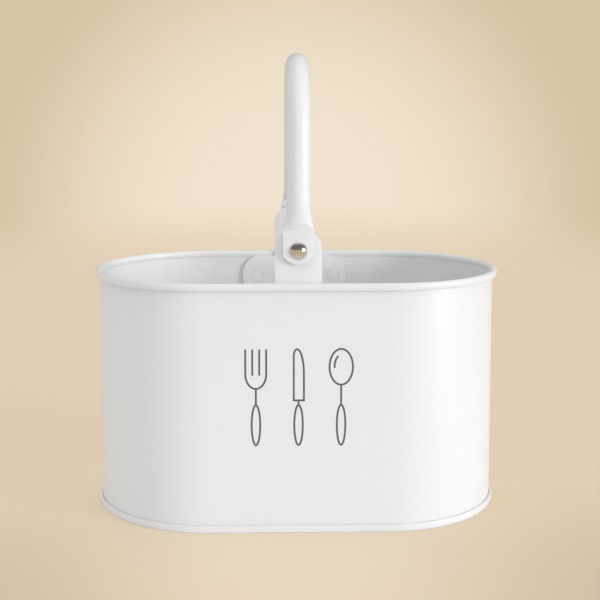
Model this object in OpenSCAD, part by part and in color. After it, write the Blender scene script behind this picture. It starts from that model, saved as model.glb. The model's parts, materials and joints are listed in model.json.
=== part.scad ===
// Countertop cutlery caddy in coated sheet steel: a tub with a flat front and back and
// half-round ends, a wired rim, a base held by a double seam, and a tube handle that
// swings on two rivets. The front faces -Y, and the origin is the middle of the foot.

/* [Tub] */
// Length over the walls, from one half-round end to the other
tub_l = 270; // [220:1:330]
// Depth over the walls, which is also the width of the half-round ends
tub_d = 155; // [125:1:185]
// Height from the table to the top of the rim
tub_h = 161; // [120:1:210]
// Thickness of the coated sheet in the wall and the base
sheet_t = 0.5; // [0.4:0.05:0.7]
// Width of the lap at the middle of the back, where the wall's two ends are joined
lap_w = 8; // [5:0.5:14]
// Distance that the lap stops short of the foot and of the rim
lap_end = 1; // [0.5:0.5:4]

/* [Rim] */
// Diameter of the wire that the rim is rolled round
wire_d = 3.3; // [2.4:0.1:4.2]
// How far the rolled rim stands out of the wall
rim_out = 3.2; // [2.6:0.1:4]
// Height of the tail that tucks in under the wire
rim_tuck = 0.8; // [0.4:0.1:1.6]

/* [Foot] */
// Height of the double seam round the foot
foot_h = 4.7; // [3.4:0.1:6]
// Rounding of the seam's outer edges
foot_round = 0.9; // [0.5:0.1:1.1]
// Height of the floor's underside above the table
floor_lift = 4.5; // [3:0.1:10]

/* [Brackets] */
// Thickness of the bracket plate
bracket_t = 1.2; // [0.9:0.1:2]
// Width of the upright strap
strap_w = 29.5; // [25:0.5:34]
// Width of the plate that is welded to the wall
plate_w = 78; // [66:1:96]
// Height of the plate
plate_h = 32; // [28:1:45]
// Radius of the plate's corners
plate_corner = 14; // [6:0.5:14]
// Depth of the plate's top edge below the top of the rim
plate_drop = 3.5; // [2.5:0.5:8]
// Diameter of the pressed weld marks
weld_d = 9.6; // [6:0.2:11]
// Distance between the two weld marks
weld_span = 57.4; // [46:0.2:60]
// Depth of the weld marks below the plate's top edge
weld_drop = 16; // [12:0.5:20]

/* [Pivot] */
// Height of the pivot above the top of the rim
pivot_rise = 20.5; // [17:0.5:30]
// Diameter of the rivet's shank
rivet_d = 5; // [4:0.1:6]
// Diameter of the rivet's domed head
rivet_head_d = 10.9; // [9:0.1:13]
// Height of the rivet's domed head
rivet_head_h = 3.2; // [2:0.1:4]
// Diameter of the rivet's formed tail
rivet_tail_d = 8.4; // [7.2:0.1:10]
// Height of the rivet's formed tail
rivet_tail_h = 2; // [1.2:0.1:3]
// Diameter of the washers on the rivet
washer_d = 12; // [10.4:0.2:15]
// Thickness of the washers on the rivet
washer_t = 0.8; // [0.5:0.1:1.2]

/* [Handle] */
// Outer diameter of the handle tube
tube_d = 15; // [12:0.5:16]
// Wall of the handle tube
tube_t = 1.2; // [0.8:0.1:1.6]
// Height of the handle's top above the pivot
handle_rise = 124; // [105:0.5:160]
// Bend radius at the tube's centre line
bend_r = 45; // [25:1:50]
// Width of the flattened ends
flat_w = 20; // [18:0.5:24]
// Radius of the rounded bottom edge of the flattened ends
flat_end_r = 12; // [12:0.5:16]
// Depth of the flattened ends below the pivot
flat_drop = 8.4; // [7:0.2:10]
// Height above the pivot at which the flattened face stops
flat_rise = 13.3; // [10:0.1:14]
// Height above the pivot at which the tube is fully round
flare_rise = 31; // [24:0.5:36]

/* [Clearances] */
// Gap between the sheet layers of the foot, and round the rim's wire
sheet_gap = 0.04; // [0.02:0.01:0.08]
// Gap between the bracket plate and the inner side of the rim
bracket_gap = 0.15; // [0.05:0.05:0.4]
// Radial clearance of the handle on the rivet's shank
pivot_fit = 0.06; // [0.03:0.01:0.1]
// Radial clearance of the brackets and washers on the rivet's shank
seat_fit = 0.02; // [0.01:0.01:0.05]
// Side play of the handle between its washer and the rivet's head
swing_gap = 0.15; // [0.1:0.05:0.3]
// Radial clearance of the handle's pressed pocket round the top of the strap
strap_clear = 4; // [3.6:0.2:5]

/* [Hidden] */
$fn = 96;

// Every distance called "out" is measured outwards from the wall's outer face.
end_r = tub_d / 2;
straight_half = tub_l / 2 - end_r;

// Rolled rim
wire_hole_r = wire_d / 2 + sheet_gap;
bead_r = wire_hole_r + sheet_t;
bead_out = rim_out - bead_r;
bead_z = tub_h - bead_r;
bead_inner = bead_out - bead_r;
bead_low = bead_z - rim_tuck - bead_r;
// Open gap between the rim's cut edge and the wall
curl_gap = 0.25;

// Double seam: the outward start of each sheet layer outside the wall
layer = sheet_t + sheet_gap;
base_hook_out = sheet_gap;
wall_hook_out = base_hook_out + layer;
panel_out = wall_hook_out + layer;
foot_out = panel_out + sheet_t;
chuck_out = -sheet_t - layer;

// Brackets: the plate lies against the inner side of the rim
plate_top = tub_h - plate_drop;
bracket_out = min(bead_inner, -sheet_t) - bracket_gap;
weld_z = plate_top - weld_drop;
weld_reach = -sheet_t - bracket_out;
weld_edge = 0.4;
weld_press = min(weld_reach, bracket_t * 0.7);

// Stack on the rivet, as distances from the middle plane of the tub
pivot_z = tub_h + pivot_rise;
strap_face = end_r + bracket_out;
strap_back = strap_face - bracket_t;
spacer_face = strap_face + washer_t;
flat_t = 2 * tube_t;
flat_inner = spacer_face + swing_gap;
flat_outer = flat_inner + flat_t;
head_seat = flat_outer + swing_gap;
tail_seat = strap_back - washer_t;

// Handle
tube_r = tube_d / 2;
leg_y = flat_inner + flat_t / 2;
handle_top_z = pivot_z + handle_rise - tube_r;
bend_z = handle_top_z - bend_r;
flare_z = pivot_z + flare_rise;
pocket_r = strap_w / 2 + strap_clear;
// The shoulder is the short steep stretch between the flattened face and the flare.
shoulder_h = 4;
shoulder_t = 8.5;
shoulder_w = flat_w - 0.8;
// Thin slice that a hull starts or ends on
slice = 0.02;
hull_fn = 32;
// How far a cutting shape runs past the face that it cuts
run_past = 1;

steel_white = "white";
bright_steel = "silver";
washer_grey = "gainsboro";

// ---------- shared shapes ----------

// Plan of the tub, "out" beyond the wall's outer face
module plan(out) {
    square([2 * straight_half, 2 * (end_r + out)], center = true);
    for (side = [-1, 1])
        translate([side * straight_half, 0])
            circle(r = end_r + out);
}

// Sweeps a profile all the way round the plan. The profile's x is the distance
// out of the wall's outer face, and its y is the height.
module round_the_plan() {
    for (side = [0, 180])
        rotate([0, 0, side]) {
            translate([straight_half, 0, 0])
                rotate([0, 0, -90])
                    rotate_extrude(angle = 180)
                        translate([end_r, 0])
                            children();
            translate([-straight_half, 0, 0])
                rotate([90, 0, 90])
                    linear_extrude(height = 2 * straight_half)
                        translate([end_r, 0])
                            children();
        }
}

// Rectangle in a profile, from one corner to the opposite one
module box_2d(low, high) {
    translate(low)
        square([high[0] - low[0], high[1] - low[1]]);
}

// The same rectangle with its two outer corners rounded
module outer_rounded_2d(low, high, r) {
    box_2d(low, [high[0] - r, high[1]]);
    box_2d([low[0], low[1] + r], [high[0], high[1] - r]);
    for (z = [low[1] + r, high[1] - r])
        translate([high[0] - r, z])
            circle(r = r);
}

// Turns a drawing of the front (x across, y up) into a plate that stands upright,
// from one distance to another in front of the middle plane
module upright(from, to) {
    translate([0, -from, 0])
        rotate([90, 0, 0])
            linear_extrude(height = to - from)
                children();
}

// Places what is modelled at the front on the back as well
module at_back() {
    rotate([0, 0, 180])
        children();
}

// Bore or shaft on the pivot's axis at the front, between two distances
module pivot_rod(r, from, to) {
    upright(from, to)
        translate([0, pivot_z])
            circle(r = r);
}

// ---------- tub ----------

module rim_profile() {
    difference() {
        union() {
            translate([bead_out, bead_z])
                circle(r = bead_r);
            translate([bead_out, bead_z - rim_tuck])
                circle(r = bead_r);
            box_2d([bead_inner, bead_z - rim_tuck], [rim_out, bead_z]);
        }
        translate([bead_out, bead_z])
            circle(r = wire_hole_r);
        box_2d([0, bead_low - run_past], [curl_gap, bead_z]);
    }
}

module wall_shell() {
    color(steel_white) {
        round_the_plan() {
            difference() {
                box_2d([-sheet_t, layer], [0, bead_z]);
                translate([bead_out, bead_z])
                    circle(r = wire_hole_r);
            }
            rim_profile();
            box_2d([-sheet_t, layer], [wall_hook_out + sheet_t, layer + sheet_t]);
            box_2d([wall_hook_out, layer], [wall_hook_out + sheet_t, foot_h - layer]);
        }
        translate([-lap_w / 2, end_r - sheet_t / 2, foot_h + lap_end])
            cube([lap_w, sheet_t * 1.5, bead_low - foot_h - 2 * lap_end]);
    }
}

module rim_wire() {
    color(bright_steel)
        round_the_plan()
            translate([bead_out, bead_z])
                circle(d = wire_d);
}

module base_pan() {
    color(steel_white) {
        round_the_plan() {
            box_2d([chuck_out, 0], [chuck_out + sheet_t, floor_lift + sheet_t]);
            difference() {
                outer_rounded_2d([chuck_out, 0], [foot_out, foot_h], foot_round);
                box_2d([chuck_out - run_past, sheet_t], [panel_out, foot_h + run_past]);
            }
            difference() {
                outer_rounded_2d([base_hook_out, 0], [foot_out, foot_h], foot_round);
                box_2d([base_hook_out - run_past, -run_past], [foot_out + run_past, foot_h - sheet_t]);
            }
            box_2d([base_hook_out, 2 * layer], [base_hook_out + sheet_t, foot_h - sheet_t / 2]);
        }
        translate([0, 0, floor_lift])
            linear_extrude(height = sheet_t)
                plan(chuck_out + sheet_t);
    }
}

// ---------- brackets ----------

module bracket_outline() {
    translate([-strap_w / 2, plate_top - plate_corner])
        square([strap_w, pivot_z - plate_top + plate_corner]);
    translate([0, pivot_z])
        circle(d = strap_w);
    plate_low = plate_top - plate_h;
    translate([-plate_w / 2 + plate_corner, plate_low])
        square([plate_w - 2 * plate_corner, plate_h]);
    translate([-plate_w / 2, plate_low + plate_corner])
        square([plate_w, plate_h - 2 * plate_corner]);
    for (x = [-1, 1], z = [plate_low + plate_corner, plate_top - plate_corner])
        translate([x * (plate_w / 2 - plate_corner), z])
            circle(r = plate_corner);
}

module weld_marks(r) {
    for (side = [-1, 1])
        translate([side * weld_span / 2, weld_z])
            circle(r = r);
}

module bracket() {
    color(steel_white)
        difference() {
            union() {
                upright(strap_back, strap_face)
                    bracket_outline();
                upright(strap_face - bracket_t / 2, strap_face + weld_reach)
                    weld_marks(weld_d / 2 - weld_edge);
            }
            upright(strap_back - run_past, strap_back + weld_press)
                weld_marks(weld_d / 2);
            pivot_rod(rivet_d / 2 + seat_fit, strap_back - run_past, strap_face + run_past);
        }
}

module front_bracket() {
    bracket();
}

module rear_bracket() {
    at_back()
        bracket();
}

// ---------- pivots ----------

module washer(from) {
    color(washer_grey)
        difference() {
            pivot_rod(washer_d / 2, from, from + washer_t);
            pivot_rod(rivet_d / 2 + seat_fit, from - run_past, from + washer_t + run_past);
        }
}

// Dome of a given diameter and height, which stands on z = 0
module dome(d, h) {
    r = (d * d / 4 + h * h) / (2 * h);
    rotate_extrude()
        intersection() {
            translate([0, h - r])
                circle(r = r);
            square([d, h]);
        }
}

module rivet() {
    color(bright_steel) {
        pivot_rod(rivet_d / 2, tail_seat - rivet_tail_h / 2, head_seat + rivet_head_h / 2);
        translate([0, -head_seat, pivot_z])
            rotate([90, 0, 0])
                dome(rivet_head_d, rivet_head_h);
        translate([0, -tail_seat, pivot_z])
            rotate([-90, 0, 0])
                dome(rivet_tail_d, rivet_tail_h);
    }
}

module front_spacer_washer() {
    washer(strap_face);
}

module rear_spacer_washer() {
    at_back()
        washer(strap_face);
}

module front_tail_washer() {
    washer(tail_seat);
}

module rear_tail_washer() {
    at_back()
        washer(tail_seat);
}

module front_rivet() {
    rivet();
}

module rear_rivet() {
    at_back()
        rivet();
}

// ---------- handle ----------

// Flattened end, drawn from the front
module flat_outline() {
    end_z = pivot_z - flat_drop + flat_end_r;
    corner_z = end_z - sqrt(pow(flat_end_r, 2) - pow(flat_w / 2, 2));
    box_2d([-flat_w / 2, corner_z], [flat_w / 2, pivot_z + flat_rise]);
    intersection() {
        translate([0, end_z])
            circle(r = flat_end_r);
        box_2d([-flat_w / 2, end_z - flat_end_r], [flat_w / 2, end_z]);
    }
}

// Thin rounded bar of a given width and thickness, across the leg at one height
module leg_slice(z, w, t) {
    for (side = [-1, 1])
        translate([side * (w - t) / 2, -leg_y, z])
            cylinder(d = t, h = slice, $fn = hull_fn);
}

// From the flattened face, over the steep shoulder, to the round tube
module flare() {
    shoulder_z = pivot_z + flat_rise + shoulder_h;
    hull() {
        leg_slice(pivot_z + flat_rise - slice, flat_w, flat_t);
        leg_slice(shoulder_z, shoulder_w, shoulder_t);
    }
    hull() {
        leg_slice(shoulder_z, shoulder_w, shoulder_t);
        leg_slice(flare_z, tube_d, tube_d);
    }
}

// Tube or bore along the round part of the handle, from one flare to the other
module tube_run(r, start_z) {
    for (side = [0, 180])
        rotate([0, 0, side]) {
            translate([0, -leg_y, start_z])
                cylinder(r = r, h = bend_z - start_z);
            translate([0, -leg_y + bend_r, bend_z])
                rotate([90, 0, -90])
                    rotate_extrude(angle = 90)
                        translate([bend_r, 0])
                            circle(r = r);
        }
    translate([0, -leg_y + bend_r, handle_top_z])
        rotate([-90, 0, 0])
            cylinder(r = r, h = 2 * (leg_y - bend_r));
}

module handle_tube() {
    color(steel_white)
        difference() {
            union() {
                tube_run(tube_r, flare_z);
                for (side = [0, 180])
                    rotate([0, 0, side]) {
                        upright(flat_inner, flat_outer)
                            flat_outline();
                        flare();
                    }
            }
            tube_run(tube_r - tube_t, flare_z + tube_t);
            for (side = [0, 180])
                rotate([0, 0, side]) {
                    pivot_rod(pocket_r, flat_inner - tube_d, flat_inner);
                    pivot_rod(rivet_d / 2 + pivot_fit, flat_inner - run_past, flat_outer + run_past);
                }
        }
}

wall_shell();
rim_wire();
base_pan();
front_bracket();
rear_bracket();
front_spacer_washer();
rear_spacer_washer();
front_rivet();
rear_rivet();
front_tail_washer();
rear_tail_washer();
handle_tube();
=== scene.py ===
"""A cutlery caddy in white-coated sheet steel: the finished tub, brackets, rivets and handle,
the drawing printed on its front, and a plain pale studio round it."""

import json
import math
from contextlib import contextmanager

import bmesh
import bpy
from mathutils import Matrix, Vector


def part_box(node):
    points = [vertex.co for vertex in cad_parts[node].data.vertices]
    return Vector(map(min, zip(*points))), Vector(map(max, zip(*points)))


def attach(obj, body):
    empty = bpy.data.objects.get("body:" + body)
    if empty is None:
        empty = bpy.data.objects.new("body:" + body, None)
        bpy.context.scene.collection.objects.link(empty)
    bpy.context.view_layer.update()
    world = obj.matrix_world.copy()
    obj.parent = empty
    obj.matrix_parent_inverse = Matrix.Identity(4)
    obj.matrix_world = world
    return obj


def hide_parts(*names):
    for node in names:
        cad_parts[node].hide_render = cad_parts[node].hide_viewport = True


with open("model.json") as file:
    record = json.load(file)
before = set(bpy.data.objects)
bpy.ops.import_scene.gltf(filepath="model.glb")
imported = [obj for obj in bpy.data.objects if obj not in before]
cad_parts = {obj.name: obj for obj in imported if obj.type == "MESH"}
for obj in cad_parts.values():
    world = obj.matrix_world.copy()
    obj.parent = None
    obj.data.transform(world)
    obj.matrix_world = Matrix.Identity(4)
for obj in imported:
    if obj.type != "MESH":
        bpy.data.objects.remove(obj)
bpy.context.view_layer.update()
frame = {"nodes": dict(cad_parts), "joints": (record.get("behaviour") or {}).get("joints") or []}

MM = 0.001
QUARTER = math.pi / 2
HALF_TURN = math.pi

# ---------- sizes, from the frame where it has them ----------

wall_low, wall_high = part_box("wall_shell")
pan_low, pan_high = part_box("base_pan")
wire_low, wire_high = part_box("rim_wire")
bracket_low, bracket_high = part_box("front_bracket")
spacer_low, spacer_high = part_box("front_spacer_washer")
tail_low, tail_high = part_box("front_tail_washer")
rivet_low, rivet_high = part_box("front_rivet")
handle_low, handle_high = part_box("handle_tube")
pivot_z = frame["joints"][0]["pos_m"][2]

# Tub: "out" is the distance outwards from the wall's outer face
SHEET = 0.5 * MM
LAYER = 0.54 * MM
RIM_OUT = 3.2 * MM
end_r = wall_high.y - RIM_OUT
straight = wall_high.x - wall_high.y
rim_top = wall_high.z
wire_r = (wire_high.z - wire_low.z) / 2
wire_z = (wire_high.z + wire_low.z) / 2
wire_out = wire_high.y - wire_r - end_r
curl_r = rim_top - wire_z - SHEET / 2
TUCK = 0.8 * MM
foot_out = pan_high.y - end_r
FOOT_H = 4.7 * MM
LAP_W = 8 * MM

# Rivets: their shanks, and the holes in the brackets, the washers and the handle
SHANK_R = 2.5 * MM
HOLE_R = 2.52 * MM
BORE_R = 2.56 * MM

# Handle
TUBE_R = 7.5 * MM
BEND_R = 45 * MM
FLAT_T = 2.4 * MM
FLAT_END_R = 12 * MM
leg_y = handle_high.y - TUBE_R
top_z = handle_high.z - TUBE_R
bend_z = top_z - BEND_R
flare_z = pivot_z + 31 * MM
crease_z = pivot_z + 13.3 * MM
inner_crease_z = pivot_z + 18.5 * MM
flat_half = (handle_high.x - handle_low.x) / 2

# Printed drawing: how far its ink reaches into the coat and stands out of it, the width and
# the round ends of its lines, and the height of its middle
INK_SUNK = 0.02 * MM
INK_T = 0.03 * MM
INK_W = 1.2 * MM
TIP_R = INK_W * 0.48
TIP_REACH = INK_W * 0.55
MOTIF_Z = 88 * MM

# How finely round shapes are drawn
END_STEPS = 48
CURL_SIDES = 36
HEM_SIDES = 32
PIVOT_SIDES = 48
TUBE_SIDES = 64
FLOOR_SIDES = 96
DOME_STEPS = 10

# How near two places are when they count as one: to pick parts of a mesh, and to merge them
CLOSE = 0.01 * MM
MERGED = 0.002 * MM


# ---------- modelling by hand ----------


@contextmanager
def editing(piece):
    """Edit mode on one piece, with nothing selected at first."""
    bpy.ops.object.select_all(action="DESELECT")
    piece.select_set(True)
    bpy.context.view_layer.objects.active = piece
    bpy.ops.object.mode_set(mode="EDIT")
    bpy.ops.mesh.select_all(action="DESELECT")
    yield
    bpy.ops.object.mode_set(mode="OBJECT")


def settle(name):
    """Names the new primitive and puts its place into its mesh."""
    piece = bpy.context.active_object
    piece.name = name
    piece.data.name = name
    bpy.ops.object.transform_apply(location=True, rotation=True, scale=True)
    return piece


def middle(part):
    """The place of a vertex, or the middle of an edge or a face."""
    if isinstance(part, bmesh.types.BMVert):
        return part.co
    if isinstance(part, bmesh.types.BMEdge):
        return (part.verts[0].co + part.verts[1].co) / 2
    return part.calc_center_median()


def pick(kind, test):
    """Selects only the vertices, edges or faces that pass the test."""
    bpy.ops.mesh.select_all(action="DESELECT")
    bpy.ops.mesh.select_mode(type=kind)
    mesh = bmesh.from_edit_mesh(bpy.context.edit_object.data)
    parts = {"VERT": mesh.verts, "EDGE": mesh.edges, "FACE": mesh.faces}[kind]
    for part in [part for part in parts if test(part)]:
        part.select_set(True)
    mesh.select_flush_mode()
    bmesh.update_edit_mesh(bpy.context.edit_object.data)


def extrude(move):
    """Extrudes what is selected by a distance, and leaves the new end selected."""
    bpy.ops.mesh.extrude_region_move(TRANSFORM_OT_translate={"value": tuple(move)})


def extrude_path(points):
    """Extrudes the one selected vertex from point to point."""
    mesh = bmesh.from_edit_mesh(bpy.context.edit_object.data)
    here = next(vertex.co.copy() for vertex in mesh.verts if vertex.select)
    for point in points:
        extrude(Vector(point) - here)
        here = Vector(point)


def resize(factors, centre):
    """Scales what is selected about a point."""
    bpy.ops.transform.resize(value=factors, center_override=tuple(centre))


def spin(angle, centre, axis, steps):
    """Spins what is selected about an axis. The operator's own angle runs the other way."""
    bpy.ops.mesh.spin(steps=steps, angle=-angle, center=tuple(centre), axis=axis)


def finish_with(piece, kind, **settings):
    """Adds one modifier, sets it and applies it."""
    bpy.ops.object.select_all(action="DESELECT")
    piece.select_set(True)
    bpy.context.view_layer.objects.active = piece
    modifier = piece.modifiers.new(kind.title(), kind)
    for name, value in settings.items():
        setattr(modifier, name, value)
    bpy.ops.object.modifier_apply(modifier=modifier.name)


def cut(piece, cutter, operation="DIFFERENCE"):
    """Cuts one piece with another, which is used up."""
    finish_with(piece, "BOOLEAN", object=cutter, operation=operation, solver="EXACT")
    bpy.data.objects.remove(cutter)


def tidy_normals(piece):
    """Merges what lies in one place and turns every face outwards."""
    with editing(piece):
        bpy.ops.mesh.select_all(action="SELECT")
        bpy.ops.mesh.remove_doubles(threshold=MERGED)
        bpy.ops.mesh.normals_make_consistent(inside=False)


def smooth(piece, degrees=35):
    """Shades the piece smooth, apart from edges sharper than an angle."""
    bpy.ops.object.select_all(action="DESELECT")
    piece.select_set(True)
    bpy.context.view_layer.objects.active = piece
    bpy.ops.object.shade_smooth_by_angle(angle=math.radians(degrees))


def soften(piece, width):
    """Rounds the sharp edges, as the coat does."""
    finish_with(
        piece,
        "BEVEL",
        width=width,
        segments=3,
        limit_method="ANGLE",
        angle_limit=math.radians(30),
        miter_outer="MITER_ARC",
    )


def copy_to_back(piece, name):
    """A copy with its own mesh, turned half round to the back of the tub."""
    twin = piece.copy()
    twin.data = piece.data.copy()
    twin.name = name
    twin.data.name = name
    bpy.context.scene.collection.objects.link(twin)
    with editing(twin):
        bpy.ops.mesh.select_all(action="SELECT")
        resize((-1, -1, 1), (0, 0, 0))
    return twin


# ---------- tub ----------


def at_front(out, z):
    """A point of the tub's section, where the right half-round end begins."""
    return Vector((straight, -end_r - out, z))


def out_of(part):
    """How far a part of the section lies outwards from the wall's outer face."""
    return -middle(part).y - end_r


def arc(centre, r, start, stop, steps=5):
    """Points of an arc in the tub's section, after its first point. 0 degrees points out."""
    for step in range(1, steps + 1):
        angle = math.radians(start + (stop - start) * step / steps)
        yield at_front(centre[0] + r * math.cos(angle), centre[1] + r * math.sin(angle))


def section_circle(name, r, out, z, sides):
    """A new piece that starts as a circle in the tub's section."""
    bpy.ops.mesh.primitive_circle_add(
        vertices=sides,
        radius=r,
        location=at_front(out, z),
        rotation=(QUARTER, 0, QUARTER),
    )
    return settle(name)


def sweep_round(piece):
    """Takes the section all the way round the tub: end, back, end and front."""
    with editing(piece):
        bpy.ops.mesh.select_all(action="SELECT")
        for side in (1, -1):
            spin(HALF_TURN, (side * straight, 0, 0), (0, 0, 1), END_STEPS)
            extrude((-side * 2 * straight, 0, 0))
    tidy_normals(piece)


def make_wall():
    """The wall's sheet, from its hook in the foot up to the curl round the rim's wire."""
    wall = section_circle("tub_wall", curl_r, wire_out, wire_z, CURL_SIDES)
    wall_mid = -SHEET / 2
    curl_inner = wire_out - curl_r
    curl_start = wire_z - TUCK
    curl_end_out = 0.3 * MM
    kink_h, kink_steps = 2.4 * MM, 8
    seam_slack = 0.08 * MM
    hook_z = LAYER + SHEET / 2
    hook_out = LAYER + SHEET / 2 + seam_slack
    with editing(wall):
        pick("VERT", lambda v: v.co.z < wire_z - CLOSE)
        bpy.ops.transform.translate(value=(0, 0, -TUCK))
        pick("VERT", lambda v: v.co.z < curl_start - CLOSE and out_of(v) < curl_end_out)
        bpy.ops.mesh.delete(type="VERT")
        pick("VERT", lambda v: out_of(v) < curl_inner + CLOSE)
        kink = []
        for step in range(kink_steps + 1):
            share = step / kink_steps
            ease = (1 - math.cos(math.pi * share)) / 2
            out = curl_inner + (wall_mid - curl_inner) * ease
            kink.append(at_front(out, curl_start - kink_h * share))
        extrude_path(kink)
        extrude_path([
            at_front(wall_mid, hook_z),
            at_front(hook_out, hook_z),
            at_front(hook_out, FOOT_H - LAYER),
        ])
    sweep_round(wall)
    finish_with(wall, "SOLIDIFY", thickness=SHEET, offset=0, use_even_offset=True, use_rim=True)
    add_lap(wall)
    tidy_normals(wall)
    smooth(wall)
    return wall


def add_lap(wall):
    """Raises the lap of the wall's two ends at the middle of the back."""
    margin = 1 * MM
    lap_low = FOOT_H + margin
    lap_high = wire_z - TUCK - curl_r - SHEET / 2 - margin
    sloped_edges = (0.92, 1, 0.998)

    def on_back(face):
        return face.normal.y > 0.9 and abs(middle(face).y - end_r) < 2 * CLOSE

    def in_lap(face):
        spot = middle(face)
        return on_back(face) and abs(spot.x) < LAP_W / 2 and lap_low < spot.z < lap_high

    with editing(wall):
        for place, normal in (
            ((LAP_W / 2, 0, 0), (1, 0, 0)),
            ((-LAP_W / 2, 0, 0), (1, 0, 0)),
            ((0, 0, lap_low), (0, 0, 1)),
            ((0, 0, lap_high), (0, 0, 1)),
        ):
            pick("FACE", on_back)
            bpy.ops.mesh.bisect(plane_co=place, plane_no=normal)
        pick("FACE", in_lap)
        extrude((0, SHEET, 0))
        resize(sloped_edges, (0, end_r, (lap_low + lap_high) / 2))


def make_pan():
    """The base, from the floor down, out and up into the double seam."""
    hem_r = 0.5 * MM
    hem_out = foot_out - SHEET / 2 - hem_r
    low = SHEET / 2
    high = FOOT_H - SHEET / 2
    chuck_out = -LAYER - SHEET / 2
    floor_z = pan_high.z - SHEET / 2
    bend = 0.4 * MM
    hook_end_z = 2 * LAYER + 0.2 * MM
    pan = section_circle("base", hem_r, hem_out, low + hem_r, HEM_SIDES)
    with editing(pan):
        pick("VERT", lambda v: v.co.z > low + hem_r + CLOSE)
        bpy.ops.transform.translate(value=(0, 0, high - low - 2 * hem_r))
        pick("VERT", lambda v: v.co.z < high - hem_r and out_of(v) < hem_out - CLOSE)
        bpy.ops.mesh.delete(type="VERT")
        pick("VERT", lambda v: v.co.z > high - hem_r and out_of(v) < hem_out - hem_r + 3 * CLOSE)
        extrude_path([at_front(hem_out - hem_r, hook_end_z)])
        pick("VERT", lambda v: abs(v.co.z - low) < 0.3 * CLOSE)
        extrude_path([at_front(chuck_out + bend, low)])
        extrude_path(arc((chuck_out + bend, low + bend), bend, 270, 180))
        extrude_path([at_front(chuck_out, floor_z - bend)])
        extrude_path(arc((chuck_out - bend, floor_z - bend), bend, 0, 90))
    sweep_round(pan)
    with editing(pan):
        pick("EDGE", lambda e: e.is_boundary and middle(e).z > floor_z - 5 * CLOSE)
        bpy.ops.mesh.edge_face_add()
        bpy.ops.mesh.select_all(action="SELECT")
        bpy.ops.mesh.normals_make_consistent(inside=False)
    finish_with(pan, "SOLIDIFY", thickness=SHEET, offset=0, use_even_offset=True, use_rim=True)
    tidy_normals(pan)
    smooth(pan)
    return pan


# ---------- brackets ----------


def cylinder_across(r, from_y, to_y, x, z, name, r_far=None):
    """A cutter or shaft along Y, between two depths. It may narrow towards the second."""
    bpy.ops.mesh.primitive_cone_add(
        vertices=PIVOT_SIDES,
        radius1=r,
        radius2=r if r_far is None else r_far,
        depth=abs(to_y - from_y),
        location=(x, (from_y + to_y) / 2, z),
        rotation=(QUARTER if from_y > to_y else -QUARTER, 0, 0),
    )
    return settle(name)


def make_bracket():
    """The front bracket: a strap with a round top on a wide plate with two weld marks."""
    strap_half = bracket_high.z - pivot_z
    corner, corner_steps, top_steps = 14 * MM, 14, 16
    plate_top = rim_top - 3.5 * MM
    plate_low = bracket_low.z
    plate_half = bracket_high.x
    weld_r = 4.8 * MM
    weld_x = 28.7 * MM
    weld_z = plate_top - 16 * MM
    groove_w, groove_h, groove_slope = 0.5 * MM, 0.3 * MM, 0.15 * MM
    button_sunk = 0.06 * MM
    pip_inset, pip_slope = 0.4 * MM, 0.4 * MM
    thick = 1.2 * MM
    back_y = spacer_high.y + thick
    half_way = back_y - thick / 2
    overrun = 1 * MM
    # The strap's top is two bevels that all but meet
    top_r = strap_half * 0.998
    bpy.ops.mesh.primitive_plane_add(
        size=1,
        location=(0, back_y, (plate_top + plate_low) / 2),
        rotation=(QUARTER, 0, 0),
    )
    bracket = bpy.context.active_object
    bracket.scale = (2 * plate_half, plate_top - plate_low, 1)
    bracket = settle("bracket_front")
    with editing(bracket):
        bpy.ops.mesh.select_all(action="SELECT")
        bpy.ops.mesh.bevel(offset=corner, segments=corner_steps, affect="VERTICES")
        for side in (-1, 1):
            bpy.ops.mesh.select_all(action="SELECT")
            bpy.ops.mesh.bisect(plane_co=(side * strap_half, 0, 0), plane_no=(1, 0, 0))
        near_top = plate_top - 10 * CLOSE
        pick("EDGE", lambda e: abs(middle(e).x) < strap_half / 2 and middle(e).z > near_top)
        extrude((0, 0, pivot_z - plate_top))
        extrude((0, 0, strap_half))
        pick("VERT", lambda v: v.co.z > pivot_z + strap_half / 2)
        bpy.ops.mesh.bevel(offset=top_r, segments=top_steps, affect="VERTICES")
        bpy.ops.mesh.select_all(action="SELECT")
        bpy.ops.mesh.remove_doubles(threshold=5 * CLOSE)
        bpy.ops.mesh.dissolve_limited(angle_limit=math.radians(0.5))
        bpy.ops.mesh.select_all(action="SELECT")
        extrude((0, -thick, 0))
    tidy_normals(bracket)
    # Each weld mark: a radius, two depths, how much narrower the far end is, and cut or add
    weld_steps = (
        (weld_r, back_y + CLOSE, back_y - groove_h, groove_slope, "DIFFERENCE"),
        (weld_r - groove_w, back_y - button_sunk, half_way, -groove_slope, "UNION"),
        (weld_r - pip_inset, half_way, bracket_low.y, pip_slope, "UNION"),
    )
    for side in (-1, 1):
        for r, near, far, slope, operation in weld_steps:
            mark = cylinder_across(r, near, far, side * weld_x, weld_z, "weld", r - slope)
            cut(bracket, mark, operation)
    hole = cylinder_across(HOLE_R, back_y + overrun, bracket_low.y - overrun, 0, pivot_z, "hole")
    cut(bracket, hole)
    soften(bracket, 0.28 * MM)
    tidy_normals(bracket)
    smooth(bracket)
    return bracket


# ---------- pivots ----------


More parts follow.
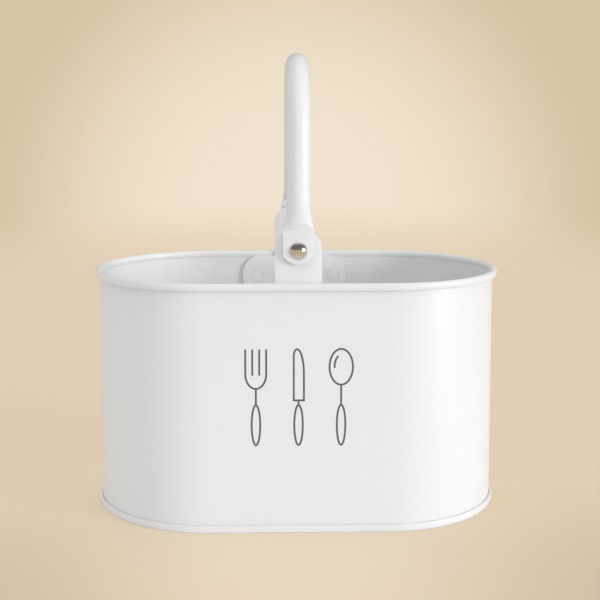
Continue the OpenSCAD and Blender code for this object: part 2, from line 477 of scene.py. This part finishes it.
def spin_up(name, profile):
    """Turns a half profile, given as distance from the rivet's axis and depth along it."""
    start = Vector((0, profile[0][1], pivot_z + profile[0][0]))
    bpy.ops.mesh.primitive_plane_add(size=1 * MM, location=start)
    piece = settle(name)
    with editing(piece):
        bpy.ops.mesh.select_all(action="SELECT")
        bpy.ops.mesh.merge(type="CENTER")
        pick("VERT", lambda v: True)
        extrude_path([Vector((0, y, pivot_z + r)) for r, y in profile[1:]])
        bpy.ops.mesh.select_all(action="SELECT")
        spin(2 * HALF_TURN, (0, 0, pivot_z), (0, 1, 0), PIVOT_SIDES)
    tidy_normals(piece)
    smooth(piece, 40)
    return piece


def dome_points(r, seat, top, edge):
    """Half profile of a domed head, from its pole to its seat."""
    rise = abs(top - seat) - edge
    side = 1 if top > seat else -1
    ball = (r * r + rise * rise) / (2 * rise)
    spread = math.asin(r / ball)
    seat_inset = 0.15 * MM
    points = []
    for step in range(DOME_STEPS + 1):
        angle = spread * step / DOME_STEPS
        points.append((ball * math.sin(angle), top - side * ball * (1 - math.cos(angle))))
    return points + [(r - seat_inset, seat)]


def make_rivet():
    """The front rivet: its domed head outside, and its flatter tail inside the tub."""
    head_r, head_h, head_edge = 5.45 * MM, 3.2 * MM, 0.35 * MM
    tail_r, tail_h, tail_edge = 4.2 * MM, 2 * MM, 0.3 * MM
    head_seat = rivet_low.y + head_h
    tail_seat = rivet_high.y - tail_h
    head = dome_points(head_r, head_seat, rivet_low.y, head_edge)
    tail = dome_points(tail_r, tail_seat, rivet_high.y, tail_edge)
    shank = [(SHANK_R, head_seat), (SHANK_R, tail_seat)]
    return spin_up("rivet_front", head + shank + tail[::-1])


def make_washer(name, low, high):
    """A flat washer with slightly broken edges, in the box of its CAD node."""
    outer = (high.x - low.x) / 2
    inner = HOLE_R
    edge = 0.12 * MM
    near, far = low.y, high.y
    profile = [
        (inner, near + edge),
        (inner + edge, near),
        (outer - edge, near),
        (outer, near + edge),
        (outer, far - edge),
        (outer - edge, far),
        (inner + edge, far),
        (inner, far - edge),
        (inner, near + edge),
    ]
    return spin_up(name, profile)


# ---------- printed drawing ----------


def oval(x, z, half_w, half_h, start, stop, steps=24):
    """Points along an oval, from one angle to another. 0 degrees points right and 90 up."""
    for step in range(steps + 1):
        angle = math.radians(start + (stop - start) * step / steps)
        yield (x + half_w * math.cos(angle), z + half_h * math.sin(angle))


def stroke(points, closed=False):
    """A printed line of even width on the front, with round ends unless it is closed."""
    spots = [
        Vector((x * MM, -end_r + INK_SUNK, MOTIF_Z + z * MM))
        for x, z in points
    ]
    bpy.ops.mesh.primitive_plane_add(size=1 * MM, location=spots[0])
    line = settle("line")
    with editing(line):
        bpy.ops.mesh.select_all(action="SELECT")
        bpy.ops.mesh.merge(type="CENTER")
        pick("VERT", lambda v: True)
        extrude_path(spots[1:])
        if closed:
            bpy.ops.mesh.select_all(action="SELECT")
            bpy.ops.mesh.remove_doubles(threshold=CLOSE)
        bpy.ops.mesh.select_all(action="SELECT")
        extrude((0, -INK_SUNK - INK_T, 0))
    finish_with(line, "SOLIDIFY", thickness=INK_W, offset=0, use_even_offset=True, use_rim=True)
    if not closed:
        with editing(line):
            for tip in (spots[0], spots[-1]):
                pick("EDGE", lambda e: is_tip_corner(e, tip))
                bpy.ops.mesh.bevel(offset=TIP_R, segments=5, affect="EDGES")
    return line


def is_tip_corner(edge, tip):
    """Whether an edge runs through the ink at a corner of the line's square end."""
    near, far = (vertex.co for vertex in edge.verts)
    through = abs(near.x - far.x) + abs(near.z - far.z) < CLOSE
    return through and math.hypot(near.x - tip.x, near.z - tip.z) < TIP_REACH


def make_motif():
    """A fork, a knife and a spoon in thin printed line, in millimetres from their middle. What
    is called w or h of an oval is half of it."""
    fork, knife, spoon = -27, 0, 27
    top, neck, foot = 31, -5, -31
    grip_w, grip_h, grip_z = 2.7, (neck - foot) / 2, (neck + foot) / 2
    fork_w, root_h, root_z = 6.6, 9.5, 15
    tine_x, tine_low = 2.2, 14
    spine_x, edge_x = knife - 3, knife + 3.4
    blade_low, belly_z = -2, 15
    point_w, point_h, point_z = 2.4, 4, 27
    bowl_w, bowl_h, bowl_z = 7.4, 11.5, 19.5
    glint_w, glint_h = 4.2, 7.6
    root = oval(fork, root_z, fork_w, root_h, 180, 360)
    blade = [
        (spine_x, blade_low),
        (spine_x, point_z),
        *oval(spine_x + point_w, point_z, point_w, point_h, 160, 100, 5),
        *oval(knife - 1, belly_z, edge_x - knife + 1, top - belly_z, 80, 0, 14),
        (edge_x, blade_low),
        (spine_x, blade_low),
    ]
    lines = [
        stroke([(fork - fork_w, top), *root, (fork + fork_w, top)]),
        stroke([(fork, root_z - root_h), (fork, neck)]),
        stroke([(fork - tine_x, top), (fork - tine_x, tine_low)]),
        stroke([(fork + tine_x, top), (fork + tine_x, tine_low)]),
        stroke(blade, closed=True),
        stroke([(knife, blade_low), (knife, neck)]),
        stroke(list(oval(spoon, bowl_z, bowl_w, bowl_h, -90, 270, 44)), closed=True),
        stroke([(spoon, bowl_z - bowl_h), (spoon, neck)]),
        stroke(list(oval(spoon, bowl_z, glint_w, glint_h, 112, 186, 10))),
    ]
    for x in (fork, knife, spoon):
        lines.append(stroke(list(oval(x, grip_z, grip_w, grip_h, 90, 450, 40)), closed=True))
    motif = lines[0]
    for line in lines[1:]:
        cut(motif, line, "UNION")
    motif.name = "printed_motif"
    motif.data.name = "printed_motif"
    tidy_normals(motif)
    return motif


# ---------- handle ----------


def press_cutter(name, face_y, start_z, slope_sign):
    """What the press flattens: everything past one face of the leg, below a slanting shoulder."""
    wide, reach, drop = 60 * MM, 14 * MM, 60 * MM
    slant = 17 * MM
    bpy.ops.mesh.primitive_cube_add(
        size=1, location=(0, face_y + slope_sign * reach / 2, start_z - drop / 2)
    )
    cutter = bpy.context.active_object
    cutter.scale = (wide, reach, drop)
    cutter = settle(name)
    with editing(cutter):
        far_y = face_y + slope_sign * reach
        near_top = start_z - 10 * CLOSE
        pick("VERT", lambda v: abs(v.co.y - far_y) < 10 * CLOSE and v.co.z > near_top)
        bpy.ops.transform.translate(value=(0, 0, slant))
    return cutter


def make_handle():
    """One half, from the middle of the grip to a flattened end, then its twin joined on."""
    bpy.ops.mesh.primitive_circle_add(
        vertices=TUBE_SIDES, radius=TUBE_R, location=(0, 0, top_z), rotation=(QUARTER, 0, 0)
    )
    handle = settle("handle")
    reach = leg_y - BEND_R
    centre = Vector((0, -leg_y, flare_z))
    flare_h = flare_z - crease_z
    press_half = 4.6 * MM
    bend_steps, flare_steps, end_steps = 28, 14, 12
    overrun = 20 * MM
    with editing(handle):
        bpy.ops.mesh.select_all(action="SELECT")
        extrude((0, -reach, 0))
        spin(QUARTER, (0, -reach, bend_z), (1, 0, 0), bend_steps)
        extrude((0, 0, flare_z - bend_z))
        wide, deep = TUBE_R, TUBE_R
        for step in range(1, flare_steps + 1):
            share = step / flare_steps
            next_wide = TUBE_R + (flat_half - TUBE_R) * share**2
            next_deep = TUBE_R + (press_half - TUBE_R) * (3 * share**2 - 2 * share**3)
            extrude((0, 0, -flare_h / flare_steps))
            centre.z -= flare_h / flare_steps
            resize((next_wide / wide, next_deep / deep, 1), centre)
            wide, deep = next_wide, next_deep
        end_z = handle_low.z + FLAT_END_R
        corner = math.asin(flat_half / FLAT_END_R)
        corner_z = end_z - FLAT_END_R * math.cos(corner)
        extrude((0, 0, corner_z - crease_z))
        centre.z = corner_z
        resize((flat_half / wide, 1, 1), centre)
        wide = flat_half
        for step in range(1, end_steps):
            angle = corner * (1 - step / end_steps)
            next_wide = FLAT_END_R * math.sin(angle)
            next_z = end_z - FLAT_END_R * math.cos(angle)
            extrude((0, 0, next_z - centre.z))
            centre.z = next_z
            resize((next_wide / wide, 1, 1), centre)
            wide = next_wide
        bpy.ops.mesh.edge_face_add()
    twin = copy_to_back(handle, "handle_twin")
    bpy.ops.object.select_all(action="DESELECT")
    twin.select_set(True)
    handle.select_set(True)
    bpy.context.view_layer.objects.active = handle
    bpy.ops.object.join()
    tidy_normals(handle)
    for side in (-1, 1):
        cut(handle, press_cutter("outer_press", side * (leg_y + FLAT_T / 2), crease_z, side))
        cut(handle, press_cutter("inner_press", side * (leg_y - FLAT_T / 2), inner_crease_z, -side))
    cut(handle, cylinder_across(BORE_R, leg_y + overrun, -leg_y - overrun, 0, pivot_z, "bore"))
    soften(handle, 0.34 * MM)
    tidy_normals(handle)
    smooth(handle, 30)
    return handle


# ---------- finishes ----------

BLACK = (0, 0, 0, 1)

# Floor: its radius and where it begins to fade, in metres, and the colours of its paper with
# painted light: a painted pool of light under the object, painted falloff farther off, and
# painted shade towards the front corners
FLOOR_R = 2.2
FLOOR_FADE = 0.8
PAPER_PAINTED_POOL = (0.742, 0.629, 0.479, 1)
PAPER_PAINTED_FALLOFF = (0.681, 0.551, 0.407, 1)
PAPER_PAINTED_FRONT_SHADE = (0.569, 0.461, 0.34, 1)

# Backdrop: the direction of its brightest spot, a painted pool of light, its colours there and
# round it, and the dark ceiling that bright metal mirrors, shown only to the camera and in
# reflections while the light from overhead stays bright: a painted dark reflection
BACKDROP_MIDDLE = (0.018, 0.994, -0.105)
BACKDROP_PAINTED_POOL = (0.88, 0.768, 0.612, 1)
BACKDROP_EDGE = (0.69, 0.545, 0.38, 1)
PAINTED_DARK_CEILING = (0.17, 0.16, 0.155, 1)

# Plain light from the air at the horizon, above it and overhead, and how much less of it
# comes from the right and from the left
LIGHT_LOW = (0.65, 0.65, 0.65, 1)
LIGHT_HIGH = (0.97, 0.97, 0.97, 1)
LIGHT_OVERHEAD = (1.2, 1.2, 1.2, 1)
DIMMED_RIGHT = 0.68
DIMMED_LEFT = 0.26


class Term:
    """One output of a finish's nodes, for use in Python's sums."""

    def __init__(self, finish, socket):
        self.finish = finish
        self.socket = socket

    def sum_of(self, operation, first, second):
        return self.finish.node("ShaderNodeMath", {"operation": operation}, {0: first, 1: second})

    def __add__(self, other):
        return self.sum_of("ADD", self, other)

    def __radd__(self, other):
        return self.sum_of("ADD", other, self)

    def __sub__(self, other):
        return self.sum_of("SUBTRACT", self, other)

    def __rsub__(self, other):
        return self.sum_of("SUBTRACT", other, self)

    def __mul__(self, other):
        return self.sum_of("MULTIPLY", self, other)

    def __rmul__(self, other):
        return self.sum_of("MULTIPLY", other, self)


class Finish:
    """A material, or the world, with one method that adds any node."""

    def __init__(self, name, kind="materials"):
        self.owner = getattr(bpy.data, kind).new(name)
        self.owner.use_nodes = True
        self.tree = self.owner.node_tree
        self.tree.nodes.clear()

    def node(self, kind, settings=None, sockets=None, output=0):
        """A node of one type, its settings first, then the values or links of its sockets."""
        made = self.tree.nodes.new(kind)
        for name, value in (settings or {}).items():
            setattr(made, name, value)
        for name, value in (sockets or {}).items():
            if isinstance(value, Term):
                self.tree.links.new(value.socket, made.inputs[name])
            else:
                made.inputs[name].default_value = value
        return Term(self, made.outputs[output]) if made.outputs else None

    def place(self):
        """Where on the piece a point lies."""
        return self.node("ShaderNodeTexCoord", output="Object")

    def noise(self, scale, detail=2.0, roughness=0.5, stretch=(1, 1, 1)):
        """Noise between 0 and 1, with its scale in copies a metre."""
        spot = self.node("ShaderNodeMapping", {}, {"Vector": self.place(), "Scale": stretch})
        return self.node(
            "ShaderNodeTexNoise",
            {},
            {"Vector": spot, "Scale": scale, "Detail": detail, "Roughness": roughness},
            "Fac",
        )

    def far_from_middle(self, stretch):
        """Distance from the origin, with each axis stretched."""
        spot = self.node("ShaderNodeMapping", {}, {"Vector": self.place(), "Scale": stretch})
        return self.node("ShaderNodeVectorMath", {"operation": "LENGTH"}, {0: spot}, "Value")

    def part(self, vector, axis):
        """One of the three numbers of a vector."""
        return self.node("ShaderNodeSeparateXYZ", {}, {"Vector": vector}, axis)

    def blend(self, share, first, second):
        """A colour between two colours."""
        return self.node(
            "ShaderNodeMix", {"data_type": "RGBA"}, {0: share, 6: first, 7: second}, 2
        )

    def bump(self, height, distance, strength):
        """A normal that follows a fine relief, whose height is in metres."""
        sockets = {"Height": height, "Distance": distance, "Strength": strength}
        return self.node("ShaderNodeBump", {}, sockets)

    def surface(self, **looks):
        """The finished material, from the shader's sockets named in Python's way."""
        sockets = {}
        for name, value in looks.items():
            sockets[name.replace("_", " ").title().replace("Ior", "IOR")] = value
        shader = self.node("ShaderNodeBsdfPrincipled", {}, sockets)
        self.node("ShaderNodeOutputMaterial", {}, {"Surface": shader})
        return self.owner

    def seen(self):
        """1 for what the camera sees, straight, mirrored or through glass, and 0 for plain light."""
        ray = [
            self.node("ShaderNodeLightPath", output=kind)
            for kind in ("Is Camera Ray", "Is Glossy Ray", "Is Transmission Ray")
        ]
        return self.node(
            "ShaderNodeMath",
            {"operation": "ADD", "use_clamp": True},
            {0: ray[0] + ray[1], 1: ray[2]},
        )

    def ease(self, value, low, high):
        """0 below one value and 1 above the other, with a smooth step between them."""
        return self.node(
            "ShaderNodeMapRange",
            {"interpolation_type": "SMOOTHSTEP"},
            {"Value": value, "From Min": low, "From Max": high},
        )


def white_coat():
    """Smooth white powder coat: a fine orange peel, and a sheen that varies a little."""
    finish = Finish("white_coat")
    cloud = finish.noise(9, 1.0, 0.3)
    peel = finish.noise(520, 2.0)
    tone = finish.blend(cloud, (0.85, 0.853, 0.858, 1), (0.866, 0.868, 0.872, 1))
    return finish.surface(
        base_color=tone,
        roughness=0.33 + 0.06 * peel,
        normal=finish.bump(peel, 0.014 * MM, 0.35),
        coat_weight=0.2,
        coat_roughness=0.2,
    )


def print_ink():
    """Dark grey ink, a little thin in places so that the white coat lightens it."""
    finish = Finish("print_ink")
    thin = finish.noise(1500, 3.0, 0.7)
    patch = finish.noise(90, 1.0)
    tone = finish.blend(0.6 * thin + 0.4 * patch, (0.075, 0.075, 0.077, 1), (0.15, 0.15, 0.152, 1))
    return finish.surface(
        base_color=tone,
        roughness=0.42 + 0.2 * thin,
        normal=finish.bump(thin, 0.012 * MM, 0.5),
    )


def bright_rivet():
    """Nickel-plated steel, lightly pitted by the rivet setter."""
    finish = Finish("bright_rivet")
    pits = finish.noise(900, 3.0, 0.6)
    smear = finish.noise(260, 2.0)
    tone = finish.blend(smear, (0.66, 0.62, 0.61, 1), (0.78, 0.745, 0.735, 1))
    return finish.surface(
        base_color=tone,
        metallic=1.0,
        roughness=0.14 + 0.16 * smear,
        normal=finish.bump(pits, 0.08 * MM, 0.5),
    )


def washer_steel():
    """Zinc-plated washer with a turned face."""
    finish = Finish("washer_steel")
    grain = finish.noise(1400, 2.0, 0.5, (1, 0.2, 1))
    tone = finish.blend(grain, (0.56, 0.57, 0.58, 1), (0.68, 0.69, 0.7, 1))
    return finish.surface(
        base_color=tone,
        metallic=1.0,
        roughness=0.3 + 0.15 * grain,
        normal=finish.bump(grain, 0.03 * MM, 0.5),
    )


def plain_wire():
    """Drawn steel wire, slightly oily and dull."""
    finish = Finish("plain_wire")
    streak = finish.noise(500, 2.0)
    tone = finish.blend(streak, (0.36, 0.36, 0.37, 1), (0.5, 0.5, 0.51, 1))
    return finish.surface(
        base_color=tone,
        metallic=1.0,
        roughness=0.35 + 0.15 * streak,
        normal=finish.bump(streak, 0.02 * MM, 0.5),
    )


def studio_floor():
    """Beige paper, partly lit from within, that lights the object as a neutral paper would."""
    finish = Finish("studio_floor")
    seen = finish.seen()
    neutral = (0.82, 0.82, 0.82, 1)
    matt_share, glow_strength = 0.78, 0.4
    far = finish.far_from_middle((1, 1, 1))
    # Painted light: the paper is painted lighter round the middle and darker farther off and towards
    # the front corners, a painted pool of light with painted shade round it
    edge = finish.ease(finish.far_from_middle((2, 0.8, 1)), 0.1, 0.42)
    front_shade_mask = finish.ease(finish.part(finish.place(), "Y"), 0.05, -0.2)
    paper = finish.blend(edge, PAPER_PAINTED_POOL, PAPER_PAINTED_FALLOFF)
    paper = finish.blend(edge * front_shade_mask, paper, PAPER_PAINTED_FRONT_SHADE)
    matt = finish.blend(1 - matt_share, paper, BLACK)
    return finish.surface(
        base_color=finish.blend(seen, neutral, matt),
        roughness=0.9,
        specular_ior_level=0.0,
        emission_color=finish.blend(seen, BLACK, paper),
        emission_strength=glow_strength,
        alpha=1 - finish.ease(far, FLOOR_FADE, FLOOR_R),
    )


def studio_air():
    """The light all round, and the beige backdrop that the camera sees."""
    finish = Finish("studio_air", "worlds")
    ray = finish.node("ShaderNodeTexCoord", output="Generated")
    across = finish.part(ray, "X")
    height = finish.part(ray, "Z")
    to_backdrop = finish.node(
        "ShaderNodeVectorMath",
        {"operation": "DOT_PRODUCT"},
        {0: ray, 1: BACKDROP_MIDDLE},
        "Value",
    )
    # Painted light on the backdrop: a painted pool of light round its middle, and above it a dark
    # ceiling that only the camera and reflections see, a painted dark reflection
    shown = finish.blend(finish.ease(to_backdrop, 0.966, 1), BACKDROP_EDGE, BACKDROP_PAINTED_POOL)
    shown = finish.blend(finish.ease(height, 0.1, 0.22), shown, PAINTED_DARK_CEILING)
    soft = finish.blend(finish.ease(height, 0, 0.7), LIGHT_LOW, LIGHT_HIGH)
    soft = finish.blend(finish.ease(height, 0.5, 0.95), soft, LIGHT_OVERHEAD)
    dimmed = DIMMED_RIGHT * finish.ease(across, 0, 1) + DIMMED_LEFT * finish.ease(across, 0, -1)
    soft = finish.blend(dimmed, soft, BLACK)
    colour = finish.blend(finish.seen(), soft, shown)
    light = finish.node("ShaderNodeBackground", {}, {"Color": colour})
    finish.node("ShaderNodeOutputWorld", {}, {"Surface": light})
    return finish.owner


# ---------- building ----------


def dress(piece, material, slot, body, *nodes):
    """Gives a finished piece its material, its body and the CAD nodes that it stands for."""
    piece.data.materials.clear()
    piece.data.materials.append(material)
    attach(piece, body)
    if nodes:
        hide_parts(*nodes)


coat = white_coat()
rivet_metal = bright_rivet()
washer_metal = washer_steel()

dress(make_wall(), coat, "white_coat", "tub", "wall_shell")
dress(make_pan(), coat, "white_coat", "tub", "base_pan")

bracket = make_bracket()
dress(copy_to_back(bracket, "bracket_rear"), coat, "white_coat", "tub", "rear_bracket")
dress(bracket, coat, "white_coat", "tub", "front_bracket")

rivet = make_rivet()
dress(copy_to_back(rivet, "rivet_rear"), rivet_metal, "bright_rivet", "tub", "rear_rivet")
dress(rivet, rivet_metal, "bright_rivet", "tub", "front_rivet")

dress(make_motif(), print_ink(), "printed_motif", "tub")

for part, (low, high) in {
    "spacer_washer": (spacer_low, spacer_high),
    "tail_washer": (tail_low, tail_high),
}.items():
    washer = make_washer(part + "_front", low, high)
    dress(copy_to_back(washer, part + "_rear"), washer_metal, "washer_steel", "tub", "rear_" + part)
    dress(washer, washer_metal, "washer_steel", "tub", "front_" + part)

dress(make_handle(), coat, "white_coat", "handle", "handle_tube")

wire = plain_wire()
for slot in frame["nodes"]["rim_wire"].material_slots:
    slot.material = wire


# ---------- studio ----------


def make_floor():
    """A flat round floor under the object."""
    bpy.ops.mesh.primitive_circle_add(vertices=FLOOR_SIDES, radius=FLOOR_R, fill_type="NGON")
    floor = settle("floor")
    with editing(floor):
        bpy.ops.mesh.select_all(action="SELECT")
        bpy.ops.mesh.inset(thickness=FLOOR_R - FLOOR_FADE)
    floor.data.materials.append(studio_floor())


def make_lamp(name, turn, rise, spread, strength):
    """A far soft lamp: its turn to the right of the front, its height above the table and its
    spread, in degrees."""
    data = bpy.data.lights.new(name, "SUN")
    data.angle = math.radians(spread)
    data.energy = strength
    lamp = bpy.data.objects.new(name, data)
    turn, rise = math.radians(turn), math.radians(rise)
    level = math.cos(rise)
    towards = Vector((math.sin(turn) * level, -math.cos(turn) * level, math.sin(rise)))
    lamp.rotation_euler = towards.to_track_quat("Z", "Y").to_euler()
    bpy.context.scene.collection.objects.link(lamp)


def make_camera():
    """The photograph's viewpoint: its frame, focal length and level line in pixels, its place,
    and how far it looks down and to the right, in radians."""
    frame_px = 600
    focal_px = 1173.2
    principal_y = 213
    place = (-15.5 * MM, -804.3 * MM, 278.5 * MM)
    pitch, yaw = 0.1005, 0.0226
    data = bpy.data.cameras.new("camera")
    data.sensor_width = 36
    data.lens = focal_px * data.sensor_width / frame_px
    data.shift_y = -(frame_px / 2 - principal_y) / frame_px
    camera = bpy.data.objects.new("camera", data)
    camera.location = place
    level = math.cos(pitch)
    forward = Vector((math.sin(yaw) * level, math.cos(yaw) * level, -math.sin(pitch)))
    camera.rotation_euler = forward.to_track_quat("-Z", "Y").to_euler()
    bpy.context.scene.collection.objects.link(camera)
    bpy.context.scene.camera = camera


make_floor()
bpy.context.scene.world = studio_air()
make_lamp("key", turn=61, rise=9, spread=20, strength=1.6)
make_camera()
bpy.context.scene.view_settings.view_transform = "Standard"
